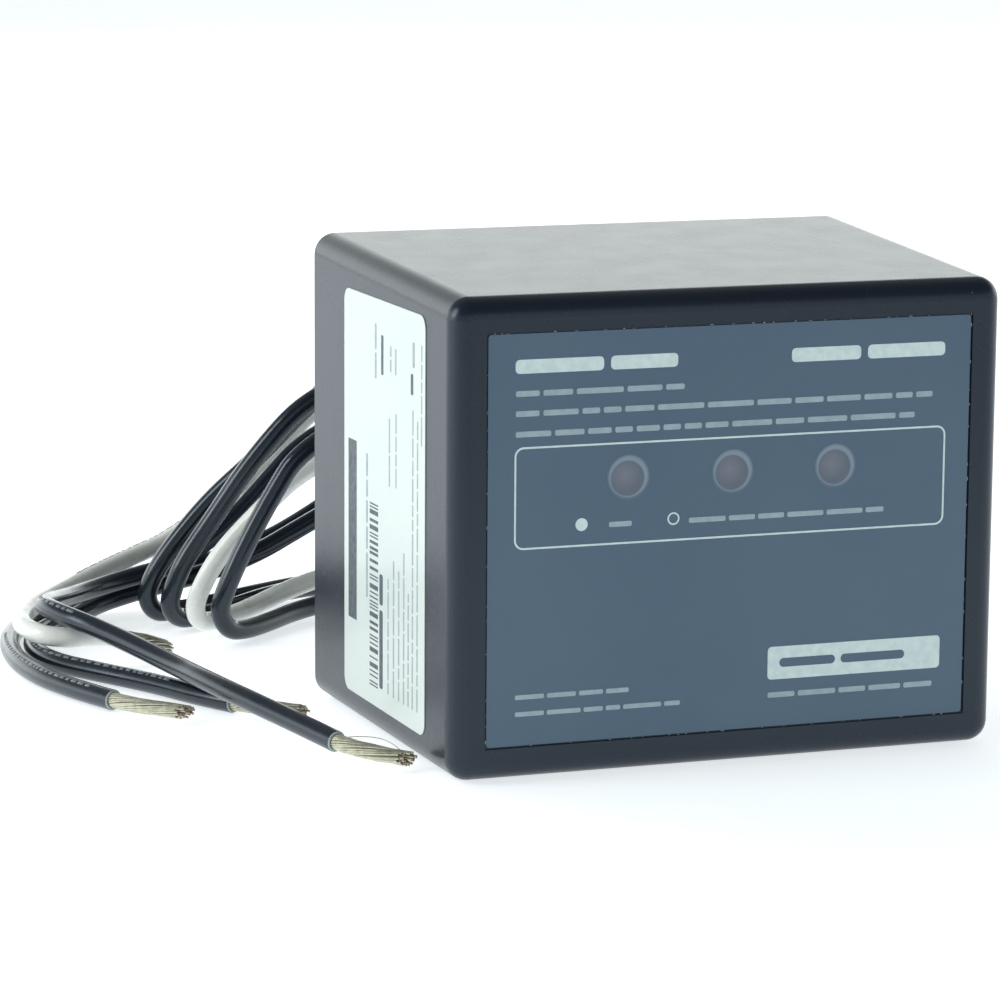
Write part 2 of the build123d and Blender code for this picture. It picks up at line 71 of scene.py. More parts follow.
class Look:
    """One procedural material: a principled shader with noise and bump nodes added by its methods."""

    def __init__(self, name, color, rough, metal=0.0, coat=0.0, specular=0.5, specular_tint=(1, 1, 1)):
        self.material = bpy.data.materials.new(name)
        self.material.use_nodes = True
        self.tree = self.material.node_tree
        self.shader = self.tree.nodes["Principled BSDF"]
        self.shader.inputs["Base Color"].default_value = (*color, 1.0)
        self.shader.inputs["Roughness"].default_value = rough
        self.shader.inputs["Metallic"].default_value = metal
        self.shader.inputs["Coat Weight"].default_value = coat
        self.shader.inputs["Specular IOR Level"].default_value = specular
        self.shader.inputs["Specular Tint"].default_value = (*specular_tint, 1.0)
        self.color, self.rough = color, rough
        self.place = self.node("ShaderNodeTexCoord").outputs["Object"]
        self.height = None

    def node(self, kind, **settings):
        made = self.tree.nodes.new(kind)
        for key, value in settings.items():
            setattr(made, key, value)
        return made

    def link(self, a, b):
        self.tree.links.new(a, b)

    def stretched(self, stretch):
        mapping = self.node("ShaderNodeMapping")
        mapping.inputs["Scale"].default_value = stretch
        self.link(self.place, mapping.inputs["Vector"])
        return mapping.outputs["Vector"]

    def noise(self, size_mm, detail=3.0, stretch=(1, 1, 1), rough=0.55):
        made = self.node("ShaderNodeTexNoise")
        made.inputs["Scale"].default_value = 1000.0 / size_mm
        made.inputs["Detail"].default_value = detail
        made.inputs["Roughness"].default_value = rough
        self.link(self.stretched(stretch), made.inputs["Vector"])
        return made.outputs["Fac"]

    def ramp(self, source, low, high, start=0.3, end=0.7):
        made = self.node("ShaderNodeValToRGB")
        made.color_ramp.elements[0].position = start
        made.color_ramp.elements[1].position = end
        made.color_ramp.elements[0].color = (*low, 1.0)
        made.color_ramp.elements[1].color = (*high, 1.0)
        self.link(source, made.inputs["Fac"])
        return made.outputs["Color"]

    def tint(self, size_mm, other, detail=3.0, stretch=(1, 1, 1), start=0.35, end=0.65):
        """Base colour drifts between this colour and another."""
        made = self.ramp(self.noise(size_mm, detail, stretch), self.color, other, start, end)
        self.link(made, self.shader.inputs["Base Color"])
        return self

    def worn(self, size_mm, spread, detail=4.0, stretch=(1, 1, 1)):
        """Roughness varies about its own value."""
        low, high = max(0.02, self.rough - spread), min(1.0, self.rough + spread)
        made = self.node("ShaderNodeMapRange")
        made.inputs["From Min"].default_value = 0.3
        made.inputs["From Max"].default_value = 0.7
        made.inputs["To Min"].default_value = low
        made.inputs["To Max"].default_value = high
        self.link(self.noise(size_mm, detail, stretch), made.inputs["Value"])
        self.link(made.outputs["Result"], self.shader.inputs["Roughness"])
        return self

    def bump(self, size_mm, depth_mm, detail=2.0, stretch=(1, 1, 1)):
        """Fine relief in the surface, stacked on what is there."""
        made = self.node("ShaderNodeBump")
        made.inputs["Strength"].default_value = 1.0
        made.inputs["Distance"].default_value = depth_mm * MM
        self.link(self.noise(size_mm, detail, stretch), made.inputs["Height"])
        if self.height is not None:
            self.link(self.height, made.inputs["Normal"])
        self.height = made.outputs["Normal"]
        self.link(self.height, self.shader.inputs["Normal"])
        return self


COOL = (0.78, 0.91, 1.0)
housing_plastic = (
    Look("housing plastic", (0.0105, 0.0150, 0.0255), 0.27, specular=0.45, specular_tint=COOL)
    .tint(45, (0.0118, 0.0168, 0.028)).worn(9, 0.012).bump(0.5, 0.0018, 2).bump(60, 0.008, 1)
)
cover_plastic = (
    Look("cover plastic", (0.022, 0.028, 0.042), 0.5)
    .tint(30, (0.028, 0.034, 0.05)).worn(6, 0.08).bump(0.6, 0.012)
)
nipple_plastic = (
    Look("nipple plastic", (0.03, 0.034, 0.042), 0.45)
    .tint(8, (0.04, 0.044, 0.052)).worn(3, 0.08).bump(0.4, 0.01)
)
label_film = (
    Look("label film", (0.066, 0.113, 0.168), 0.42, specular=0.4)
    .tint(60, (0.074, 0.125, 0.178)).worn(12, 0.05).bump(0.9, 0.004, 3).bump(25, 0.04, 1)
)
label_paper = (
    Look("label paper", (0.60, 0.665, 0.635), 0.34, coat=0.15).tint(35, (0.56, 0.63, 0.61)).worn(10, 0.04)
    .bump(1.2, 0.002, 3).bump(30, 0.015, 1)
)
light_ink = (
    Look("light ink", (0.58, 0.70, 0.70), 0.5)
    .tint(1.5, (0.50, 0.62, 0.63)).worn(1, 0.1).bump(0.2, 0.004)
)
soft_ink = (
    Look("soft ink", (0.30, 0.39, 0.43), 0.5)
    .tint(1.5, (0.25, 0.34, 0.39)).worn(1, 0.1).bump(0.2, 0.004)
)
dark_ink = (
    Look("dark ink", (0.035, 0.05, 0.07), 0.45)
    .tint(1.2, (0.07, 0.09, 0.11)).worn(1, 0.1).bump(0.2, 0.004)
)
glue_film = (
    Look("glue edge", (0.30, 0.36, 0.42), 0.4)
    .tint(0.8, (0.05, 0.07, 0.10), 4).worn(0.6, 0.1).bump(0.4, 0.03)
)
lens_plastic = (
    Look("lens plastic", (0.105, 0.125, 0.165), 0.3, coat=0.25)
    .tint(2.5, (0.125, 0.135, 0.165)).worn(2, 0.06).bump(0.8, 0.01)
)
led_epoxy = (
    Look("status light", (0.36, 0.42, 0.36), 0.12, coat=0.5)
    .tint(1.5, (0.30, 0.40, 0.32)).worn(1, 0.05).bump(1, 0.01)
)
sleeve_plastic = (
    Look("light sleeve", (0.02, 0.02, 0.022), 0.55)
    .tint(3, (0.03, 0.03, 0.032)).worn(2, 0.1).bump(0.4, 0.01)
)
board_laminate = (
    Look("board laminate", (0.012, 0.10, 0.04), 0.32, coat=0.4)
    .tint(9, (0.018, 0.13, 0.055), 5).worn(4, 0.08)
    .bump(0.9, 0.02, 1)
)
copper_trace = (
    Look("copper trace", (0.02, 0.15, 0.06), 0.3, coat=0.5)
    .tint(2, (0.03, 0.18, 0.08)).worn(1, 0.06).bump(0.5, 0.01)
)
silk_ink = (
    Look("board print", (0.75, 0.77, 0.72), 0.55)
    .tint(0.8, (0.6, 0.63, 0.6)).worn(1, 0.1).bump(0.2, 0.01)
)
solder = (
    Look("solder", (0.68, 0.68, 0.66), 0.22, metal=1.0)
    .tint(0.9, (0.5, 0.5, 0.5)).worn(0.7, 0.1).bump(0.8, 0.05)
)
varistor_lacquer = (
    Look("varistor lacquer", (0.015, 0.07, 0.28), 0.28, coat=0.5)
    .tint(5, (0.02, 0.09, 0.34), 4).worn(2, 0.08)
    .bump(2.2, 0.09, 2).bump(0.5, 0.02)
)
fuse_metal = (
    Look("fuse can", (0.66, 0.64, 0.60), 0.3, metal=1.0)
    .worn(0.8, 0.12).tint(3, (0.55, 0.53, 0.5)).bump(0.6, 0.02)
)
capacitor_case = (
    Look("capacitor case", (0.50, 0.33, 0.035), 0.4)
    .tint(6, (0.42, 0.27, 0.03)).worn(2, 0.08).bump(0.4, 0.015)
)
resistor_body = (
    Look("resistor body", (0.45, 0.33, 0.18), 0.35, coat=0.3)
    .tint(1.6, (0.38, 0.27, 0.14)).worn(1, 0.08).bump(0.6, 0.02)
)
diode_body = (
    Look("diode body", (0.018, 0.018, 0.02), 0.4)
    .tint(1.5, (0.03, 0.03, 0.032)).worn(1, 0.1).bump(0.3, 0.01)
)
terminal_brass = (
    Look("terminal brass", (0.72, 0.52, 0.22), 0.3, metal=1.0)
    .tint(2, (0.6, 0.44, 0.2)).worn(1, 0.1).bump(0.5, 0.02)
)
zinc = (
    Look("zinc plate", (0.60, 0.61, 0.60), 0.34, metal=1.0).tint(3, (0.52, 0.54, 0.56), 4).worn(1.2, 0.08)
    .bump(0.6, 0.005, 3)
)
washer_rubber = (
    Look("washer rubber", (0.016, 0.016, 0.017), 0.62)
    .tint(4, (0.021, 0.021, 0.022)).worn(2, 0.08).bump(0.6, 0.010)
)
seal_epoxy = (
    Look("seal epoxy", (0.014, 0.014, 0.016), 0.22, coat=0.3)
    .tint(4, (0.022, 0.022, 0.026)).worn(2, 0.08).bump(3, 0.15, 2)
)
black_jacket = (
    Look("black jacket", (0.0085, 0.0130, 0.0215), 0.22, coat=0.18, specular=0.5, specular_tint=COOL)
    .tint(14, (0.011, 0.0155, 0.025)).worn(3, 0.05)
    .bump(1.1, 0.02, 2)
)
white_jacket = (
    Look("white jacket", (0.87, 0.89, 0.84), 0.28, coat=0.2)
    .tint(14, (0.82, 0.85, 0.80)).worn(3, 0.07).bump(1.1, 0.02, 2)
)
jacket_core = (
    Look("jacket core", (0.36, 0.40, 0.42), 0.35)
    .tint(0.9, (0.27, 0.31, 0.34)).worn(0.6, 0.1).bump(0.3, 0.03)
)
jacket_print = (
    Look("jacket print", (0.19, 0.24, 0.27), 0.4)
    .tint(0.8, (0.10, 0.13, 0.15)).worn(0.5, 0.1).bump(0.2, 0.004)
)
tinned = (
    Look("tinned strand", (0.62, 0.61, 0.49), 0.36, metal=0.8)
    .tint(1.4, (0.47, 0.45, 0.34), 4).worn(0.6, 0.12).bump(0.4, 0.02)
)
cut_copper = (
    Look("cut copper", (0.42, 0.27, 0.2), 0.35, metal=0.9)
    .tint(0.4, (0.25, 0.17, 0.14)).worn(0.3, 0.1).bump(0.2, 0.02)
)

# ---------------------------------------------------------------- making pieces


def dress(node, look):
    """Give a CAD node its material and smooth shading."""
    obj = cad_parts[node]
    obj.data.materials.clear()
    obj.data.materials.append(look.material)
    obj.data.shade_smooth()
    obj.data.set_sharp_from_angle(angle=math.radians(28))
    even = obj.modifiers.new("even shading", "WEIGHTED_NORMAL")
    even.keep_sharp = True
    return obj


def rounded(node, look, width_mm):
    """A dressed CAD node with its hard edges softened."""
    obj = dress(node, look)
    obj.modifiers.clear()
    bevel = obj.modifiers.new("soft edges", "BEVEL")
    bevel.width = width_mm * MM
    bevel.segments = 2
    bevel.angle_limit = math.radians(40)
    bevel.harden_normals = True
    return obj


def mesh_piece(name, points, faces, look, body="device", smooth=False, at=(0, 0, 0)):
    """A mesh from points in millimetres, riding on a CAD body."""
    data = bpy.data.meshes.new(name)
    data.from_pydata([Vector(p) * MM for p in points], [], faces)
    data.materials.append(look.material)
    data.validate()
    if smooth:
        data.shade_smooth()
        data.set_sharp_from_angle(angle=math.radians(35))
    obj = collect(data, name)
    obj.location = Vector(at) * MM
    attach(obj, body)
    return obj


def sheet_of(name, shapes, look, place, thickness=0.02):
    """Thin raised shapes on a flat surface. place turns (across, up, out) into a row point."""
    points, faces = [], []
    for shape in shapes:
        base, count = len(points), len(shape)
        for out in (0.0, thickness):
            points += [place(u, v, out) for u, v in shape]
        faces.append([base + count + i for i in range(count)])
        faces.append([base + count - 1 - i for i in range(count)])
        for i in range(count):
            j = (i + 1) % count
            faces.append([base + i, base + j, base + count + j, base + count + i])
    return mesh_piece(name, points, faces, look)


def box_shape(u0, v0, u1, v1):
    return [(u0, v0), (u1, v0), (u1, v1), (u0, v1)]


def disc_shape(u, v, r, count=28):
    turns = [2 * math.pi * i / count for i in range(count)]
    return [(u + r * math.cos(turn), v + r * math.sin(turn)) for turn in turns]


def band_shapes(outline, width):
    """A closed outline drawn as a line of this width, as small quads."""
    inner, count, shapes = [], len(outline), []
    for i in range(count):
        before, here, after = (Vector(outline[(i + k) % count]) for k in (-1, 0, 1))
        along = (after - before).normalized()
        inner.append(here + Vector((-along.y, along.x)) * width)
    for i in range(count):
        j = (i + 1) % count
        shapes.append([tuple(outline[i]), tuple(outline[j]), tuple(inner[j]), tuple(inner[i])])
    return shapes


def round_box(u0, v0, u1, v1, r, steps=8):
    """A box with round corners of radius r."""
    points = []
    corners = (
        (u1 - r, v0 + r, -90),
        (u1 - r, v1 - r, 0),
        (u0 + r, v1 - r, 90),
        (u0 + r, v0 + r, 180),
    )
    for cu, cv, start in corners:
        for i in range(steps + 1):
            turn = math.radians(start + 90 * i / steps)
            points.append((cu + r * math.cos(turn), cv + r * math.sin(turn)))
    return points


def plain_words(u0, u1, v, tall, seed, bold=False):
    """A line of plain bars of random length, from u0 to u1. It spells nothing."""
    draw = random.Random(seed)
    shapes, u = [], u0
    step = tall * (0.8 if bold else 0.5)
    low, high = v + tall * (0.2 if bold else 0.1), v + tall * (0.8 if bold else 0.56)
    while u < u1 - step:
        wide = step * draw.randint(3, 8)
        if u1 - (u + wide) < step * 2.5:
            wide = u1 - u
        shapes.append(round_box(u, low, u + wide, high, (high - low) * 0.3, 3))
        u += wide + tall * 0.32
    return shapes


def tube_mesh(path, radius, sides):
    """Points and faces of a tube along a path, closed at both ends."""
    points, faces = [], []
    side = Vector((0.31, 0.17, 0.93))
    for i, here in enumerate(path):
        ahead = (path[min(i + 1, len(path) - 1)] - path[max(i - 1, 0)]).normalized()
        side = (side - ahead * side.dot(ahead)).normalized()
        other = ahead.cross(side)
        for k in range(sides):
            turn = 2 * math.pi * k / sides
            points.append(here + side * (radius * math.cos(turn)) + other * (radius * math.sin(turn)))
    for i in range(len(path) - 1):
        for k in range(sides):
            a, b = i * sides + k, i * sides + (k + 1) % sides
            faces.append([a, b, b + sides, a + sides])
    last = len(points) - sides
    faces.append(list(range(sides - 1, -1, -1)))
    faces.append([last + k for k in range(sides)])
    return points, faces


def add_tube(store, path, radius, sides):
    """Append a closed tube to a pair of lists, its points and its faces."""
    points, faces = tube_mesh(path, radius, sides)
    base = len(store[0])
    store[0].extend(points)
    store[1].extend([[base + k for k in face] for face in faces])


# ---------------------------------------------------------------- leads

LEAD_DIAMETER = 4.2
# Routes in millimetres: out of the nipple, down to a fold on the floor, behind the box,
# round a hank fold, out again low, and round to the stripped end.
BLACK_1 = [
    (2.7, 48.5, 49.7), (2.7, 61, 49.7), (-2.5, 75, 56), (-14, 86, 60), (-27, 92, 59.5),
    (-38.5, 95, 49), (-49.5, 98, 37), (-59, 101, 28), (-67, 103, 18), (-71, 104.5, 11.5),
    (-72.5, 105.5, 6.4), (-70, 107, 2.5), (-65.5, 109.5, 2.1), (-57, 113.5, 2.1), (-44, 120, 2.6),
    (-29, 126, 3), (-14, 130, 2.5), (2, 132, 3), (16, 132, 9), (23, 130.5, 21),
    (20, 127, 34), (9, 121, 42.5), (-5, 117.5, 45), (-19, 117, 43), (-33.5, 117, 37),
    (-42.5, 117, 27.5), (-51, 116.5, 19), (-63, 116, 10.8), (-72.5, 116.5, 8.8), (-81, 113, 7.7),
    (-91, 102, 8), (-101, 83, 11.2), (-100.5, 72, 11.7), (-93, 59.5, 9.6), (-84.5, 36, 6.8),
    (-82.5, 20, 7), (-79, 6, 6.4), (-73.5, -9, 4.8), (-69, -22, 3.4),
]
BLACK_2 = [
    (2.7, 48.5, 44.3), (2.7, 60, 44.3), (-2, 71, 49), (-12, 80, 53.5), (-25, 86, 56),
    (-40.5, 89, 51.5), (-52.5, 91, 38), (-60.5, 94, 25), (-66.5, 95.5, 16), (-68.5, 96.5, 10.6),
    (-69.5, 97.5, 6), (-67, 99.5, 2.5), (-62.5, 101.5, 2.1), (-54.5, 106, 2.3), (-43, 113.5, 3.4),
    (-30, 120, 3.5), (-15, 124, 2.5), (-1, 125, 2.5), (8, 125, 7.5), (11, 125, 16.5),
    (8, 125, 25.5), (-1, 125, 30.5), (-14, 124.5, 28.5), (-31, 124, 18), (-42.5, 124, 12.5),
    (-54, 124.5, 9.3), (-62.5, 125, 7.2), (-70, 126, 5), (-78.5, 124, 3), (-88, 116.5, 2.1),
    (-98, 108.5, 2.1), (-104.5, 96.5, 2.1), (-108, 82, 2.1), (-109, 65, 2.1), (-106, 46.5, 2.1),
    (-99, 30, 2.1),
]
WHITE = [
    (-2.7, 48.5, 44.3), (-2.7, 60, 44.3), (-7.5, 70.5, 46.5), (-18, 78, 46), (-29, 82, 43.5),
    (-44.5, 84, 35.8), (-52.5, 86, 27.5), (-60.5, 88, 18.8), (-64.5, 90, 10.8), (-65.5, 91.5, 6),
    (-63.5, 93.5, 2.6), (-59, 96, 2.4), (-51, 100.5, 3.3), (-40.5, 107.5, 5.4), (-28.5, 113, 7.4),
    (-13, 115.5, 6.5), (4, 117, 4), (20, 119, 7), (30, 122, 19), (30, 126, 34),
    (19, 129, 46), (3, 131, 51), (-13, 131, 49), (-28, 131, 41), (-38.5, 131, 28.8),
    (-50.5, 131, 20.3), (-61, 130, 13.6), (-69.5, 128, 11.1), (-79, 124, 8.5), (-89, 115, 6.8),
    (-98, 102.5, 6.8), (-103.5, 90, 7.2), (-105.5, 80, 7.2), (-103.5, 73, 6.8), (-98.5, 70, 6.3),
    (-93, 71, 6.4), (-88, 72, 5.6),
]
BLACK_3 = [
    (-2.7, 48.5, 49.7), (-2.7, 58, 49.7), (-7, 67, 51), (-16, 73, 51.5), (-28, 76, 50.5),
    (-46, 77, 42.2), (-52, 78, 32.3), (-57.5, 79, 22), (-61.5, 80, 12.8), (-63, 81, 7.4),
    (-60.5, 82.5, 3), (-56, 85.5, 2.1), (-49.5, 91, 2.1), (-39, 101, 2.5), (-24, 108, 3.2),
    (-8, 111, 2.5), (6, 112, 2.5), (14.5, 113, 7), (17.5, 114, 16), (14.5, 115, 25),
    (6, 115.5, 30), (-6, 116, 29), (-19, 116, 25.5), (-34.5, 116, 17.6), (-44.5, 117, 12),
    (-55.5, 118, 8.3), (-64.5, 119, 6.4), (-72, 119, 4.7), (-80.5, 116.5, 3.2), (-88.5, 107.5, 2.1),
    (-95.5, 101.5, 2.1), (-101.5, 89.5, 2.1), (-103.5, 77, 2.1), (-101.5, 66, 2.1), (-95.5, 55.5, 2.1),
    (-87.5, 42, 2.1), (-81.5, 28, 2.1), (-77, 20.5, 2.1),
]


STRAND_RADIUS = 0.245
STRAY_RADIUS = 0.09
STRAND_RINGS = ((0.46, 6), (0.92, 12), (1.38, 18))
STRAND_STEPS = 18
STRAND_TWIST = 2.7
LOWEST_STRAND = 0.26
FAN_START = 6.0


def strand_bundle(name, points, tip, stray=False):
    """Bare strands from a lead's cut end to their tips, fanning a little, with copper showing at the cuts."""
    draw = random.Random(name)
    end = Vector(points[-1])
    heading = (end - Vector(points[-2])).normalized()
    middle, far = end + heading * FAN_START, Vector(tip)
    side = heading.cross(Vector((0, 0, 1))).normalized()
    rise = side.cross(heading)
    places = [(0.0, 0.0)]
    for ring, count in STRAND_RINGS:
        places += [(ring, 2 * math.pi * i / count + ring) for i in range(count)]
    strands, cuts = ([], []), ([], [])
    for number, (r, turn) in enumerate(places):
        wide = draw.uniform(1.35, 1.7)
        flat = draw.uniform(0.72, 0.95)
        twist = STRAND_TWIST + draw.uniform(-0.2, 0.2)
        reach = draw.uniform(0.93, 1.0) if number else 1.0
        path = []
        for i in range(STRAND_STEPS + 1):
            t = i / STRAND_STEPS * reach
            centre = end.lerp(middle, t).lerp(middle.lerp(far, t), t) - heading * 0.6 * (1 - t)
            around = turn + twist * t
            out_side = r * (1 + (wide - 1) * t ** 1.5)
            out_rise = r * (1 + (flat - 1) * t)
            path.append(centre + side * (out_side * math.cos(around)) + rise * (out_rise * math.sin(around)))
        path = [p if p.z > LOWEST_STRAND else Vector((p.x, p.y, LOWEST_STRAND)) for p in path]
        add_tube(strands, path, STRAND_RADIUS, 8)
        add_tube(cuts, [path[-1], path[-1] + (path[-1] - path[-2]) * 0.08], STRAND_RADIUS, 8)
    if stray:
        path = [end + heading * 0.5 + side * -0.9 + rise * 0.8]
        for i in range(1, 10):
            bow = side * (-1.6 * math.sin(i / 3.2))
            path.append(path[0].lerp(far, i / 11) + bow + rise * (1.5 * math.sin(i / 3.5)))
        add_tube(strands, path, STRAY_RADIUS, 5)
    bundle = mesh_piece(name + "_strands", strands[0], strands[1], tinned, smooth=True)
    ends = mesh_piece(name + "_cuts", cuts[0], cuts[1], cut_copper)
    return bundle, ends


# The ring's section: how far past the cut, and the radius there.
RING_SECTION = ((-0.3, 1.58), (0.22, 1.6), (0.3, 1.68), (0.3, 1.88), (0.2, 2.0), (-0.3, 2.02))


def cut_ring(name, points, look):
    """The lighter inner layer that shows as a ring at the cut end of a jacket."""
    end = Vector(points[-1])
    heading = (end - Vector(points[-2])).normalized()
    side = heading.cross(Vector((0, 0, 1))).normalized()
    rise = side.cross(heading)
    made, faces, count = [], [], 32
    for along, r in RING_SECTION:
        for k in range(count):
            turn = 2 * math.pi * k / count
            made.append(end + heading * along + side * (r * math.cos(turn)) + rise * (r * math.sin(turn)))
    for ring in range(len(RING_SECTION)):
        nxt = (ring + 1) % len(RING_SECTION)
        for k in range(count):
            j = (k + 1) % count
            faces.append([ring * count + k, ring * count + j, nxt * count + j, nxt * count + k])
    return mesh_piece(name + "_cut_ring", made, faces, look, smooth=True)


def route_points(curve_object):
    """Points along a lead's own spline, in millimetres."""
    bare = bpy.data.objects.new("bare route", curve_object.data.copy())
    bare.data.bevel_depth = 0.0
    line = bpy.data.meshes.new_from_object(bare)
    route = [vertex.co / MM for vertex in line.vertices]
    bpy.data.curves.remove(bare.data)
    bpy.data.meshes.remove(line)
    return route


MARK_HALF_TURN = 0.17
MARK_RADIUS = LEAD_DIAMETER / 2 + 0.025


def jacket_marks(name, route, start, run, roll, look):
    """A row of short plain dashes printed along a jacket, from start over a run in millimetres."""
    draw = random.Random(name)
    dashes, reach, travelled = [], start, 0.0
    while reach < start + run:
        long = draw.uniform(0.7, 2.2)
        dashes.append((reach, reach + long))
        reach += long + draw.uniform(0.35, 0.9)
    made, faces = [], []
    lengths = [0.0]
    for a, b in zip(route, route[1:]):
        travelled += (b - a).length
        lengths.append(travelled)

    def frame_at(distance):
        k = max(1, next((i for i, d in enumerate(lengths) if d >= distance), len(route) - 1))
        ahead = (route[k] - route[k - 1]).normalized()
        part = (distance - lengths[k - 1]) / (lengths[k] - lengths[k - 1])
        across = ahead.cross(Vector((0, 0, 1))).normalized()
        return route[k - 1].lerp(route[k], part), across, across.cross(ahead)

    for first, last in dashes:
        base = len(made)
        for i in range(4):
            centre, across, over = frame_at(first + (last - first) * i / 3)
            for turn in (roll - MARK_HALF_TURN, roll, roll + MARK_HALF_TURN):
                outward = over * math.cos(turn) + across * math.sin(turn)
                made.append(centre + outward * MARK_RADIUS)
        for i in range(3):
            for k in range(2):
                a = base + 3 * i + k
                faces.append([a, a + 1, a + 4, a + 3])
    marks = mesh_piece(name + "_jacket_marks", made, faces, look, smooth=True)
    solid = marks.modifiers.new("thickness", "SOLIDIFY")
    solid.thickness = 0.04 * MM
    solid.offset = -1.0
    return marks


def free_lead(node, points, look, tip, stripped, marks, stray=False):
    """One lead: its jacket, bare strands, cut ring and marks. marks is (start, run, roll, ink)."""
    curve = bpy.data.curves.new(node + "_cord", "CURVE")
    curve.dimensions = "3D"
    spline = curve.splines.new("NURBS")
    spline.points.add(len(points) - 1)
    for made, point in zip(spline.points, points):
        made.co = (*(Vector(point) * MM), 1.0)
    spline.order_u = 3
    spline.use_endpoint_u = True
    curve.resolution_u = 8
    curve.bevel_depth = LEAD_DIAMETER / 2 * MM
    curve.bevel_resolution = 6
    curve.use_fill_caps = True
    curve.materials.append(look.material)
    jacket = collect(curve, node + "_cord")
    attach(jacket, "device")
    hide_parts(node)
    bundle, ends = strand_bundle(node, points, tip, stray)
    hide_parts(stripped)
    ring = cut_ring(node, points, jacket_core)
    start, run, roll, ink = marks
    print_marks = jacket_marks(node, route_points(jacket), start, run, roll, ink)


free_lead(
    "lead_black_1", BLACK_1, black_jacket,
    tip=(-58, -34, 1.9), stripped="stripped_end_1", marks=(300, 120, 0.5, jacket_print), stray=True,
)
free_lead(
    "lead_black_2", BLACK_2, black_jacket,
    tip=(-87.5, 15.5, 1.9), stripped="stripped_end_2", marks=(365, 55, 0.45, jacket_print),
)
free_lead(
    "lead_white", WHITE, white_jacket,
    tip=(-76, 72.5, 2.2), stripped="stripped_end_3", marks=(300, 60, 0.2, soft_ink),
)
free_lead(
    "lead_black_3", BLACK_3, black_jacket,
    tip=(-66, 9, 1.9), stripped="stripped_end_4", marks=(345, 55, 0.4, jacket_print),
)

# ---------------------------------------------------------------- dressed CAD nodes

dress("housing_shell", housing_plastic)
dress("front_label", label_film)
dress("side_label", label_paper)
dress("rear_cover", cover_plastic)
dress("nipple_seal_plug", seal_epoxy)
rounded("sealing_washer", washer_rubber, 0.25)
rounded("locknut", zinc, 0.3)
dress("cover_screws", zinc)
dress("board_screws", zinc)
dress("circuit_board", board_laminate)
dress("led_sleeves", sleeve_plastic)
dress("led_resistors", resistor_body)
dress("rectifier_diodes", diode_body)
for i in (1, 2, 3):
    dress("status_window_%d" % i, lens_plastic)
    dress("status_led_%d" % i, led_epoxy)
    dress("thermal_fuse_%d" % i, fuse_metal)
    dress("film_capacitor_%d" % i, capacitor_case)
for i in range(1, 7):
    dress("varistor_%d" % i, varistor_lacquer)
for i in range(1, 5):
    dress("lead_terminal_%d" % i, terminal_brass)
    dress("inner_wire_%d" % i, white_jacket if i == 3 else black_jacket)

# ---------------------------------------------------------------- front label

LABEL_Y = -48.3
RECESS_Y = -48.0
RECESS_BOX = (-48.3, 6.5, 48.3, 83.5)
WINDOW_XS = (-20.8, 0.0, 20.8)
WINDOW_Z = 55.9
# Lines of bars, each as its left and right end, its foot, its height and a seed.
HEADINGS = ((-43, -11.2, 75.2, 4.3, "left heading"), (11.6, 43, 75.0, 4.4, "right heading"))
SMALL_LINES = (
    (-42.9, -9.8, 71.6, 2.3, "line 1"),
    (-42.9, 40.6, 67.9, 2.3, "line 2"),
    (-42.9, 37.0, 64.1, 2.3, "line 3"),
    (-42.7, -20.2, 15.1, 1.9, "low line 1"),
    (-42.7, -9.9, 11.9, 1.9, "low line 2"),
    (7.9, 41.9, 11.9, 2.2, "low right"),
    (-24.5, -20.0, 46.5, 2.1, "legend 1"),
    (-8.6, 31.0, 46.4, 2.1, "legend 2"),
)
PANEL = (7.8, 15.6, 43.4, 21.9)


def on_front(u, v, out):
    return (u, LABEL_Y - out, v)


heading = []
for line in HEADINGS:
    heading += plain_words(*line, bold=True)
sheet_of("front_heading_blocks", heading, light_ink, on_front)
small = []
for line in SMALL_LINES:
    small += plain_words(*line)
sheet_of("front_small_blocks", small, soft_ink, on_front)
marks = band_shapes(round_box(-43.1, 43.4, 43.5, 62.5, 1.8), 0.36)
marks.append(disc_shape(-29.9, 47.5, 1.2))
marks += band_shapes(disc_shape(-11.7, 47.6, 1.2), 0.3)
marks.append(round_box(*PANEL, 0.8))
sheet_of("front_marks", marks, light_ink, on_front)


def on_front_high(u, v, out):
    return (u, LABEL_Y - 0.02 - out, v)


panel_words = [round_box(10.2, 17.9, 21.6, 19.6, 0.8), round_box(22.8, 17.9, 36.0, 19.6, 0.8)]
sheet_of("front_panel_blocks", panel_words, label_film, on_front_high)

# Ragged glue round the edge of the label, down in the recess gap.
draw = random.Random("glue")
crumbs = []
recess_corners = box_shape(*RECESS_BOX)
for (u0, v0), (u1, v1) in zip(recess_corners, recess_corners[1:] + recess_corners[:1]):
    span = math.hypot(u1 - u0, v1 - v0)
    du, dv = (u1 - u0) / span, (v1 - v0) / span
    at = 0.0
    while at < span - 2:
        at += draw.uniform(1.2, 9.0)
        long, thick = draw.uniform(0.25, 1.0), draw.uniform(0.06, 0.18)
        a, b = at, min(at + long, span)
        crumbs.append([
            (u0 + du * a, v0 + dv * a), (u0 + du * b, v0 + dv * b),
            (u0 + du * (b - long * 0.3) - dv * -thick, v0 + dv * (b - long * 0.3) - du * thick),
            (u0 + du * (a + long * 0.3) - dv * -thick, v0 + dv * (a + long * 0.3) - du * thick),
        ])


def in_recess(u, v, out):
    return (u, RECESS_Y - out, v)


sheet_of("label_glue_crumbs", crumbs, glue_film, in_recess, 0.28)

# Printed window films: a dark middle, a paler ring and a soft edge, with painted light: the ring is thicker
# at the top, and the middle carries a painted highlight.
film = Look("window film with painted light", (0.10, 0.10, 0.13), 0.3)


REACH_PER_METRE = 240.0


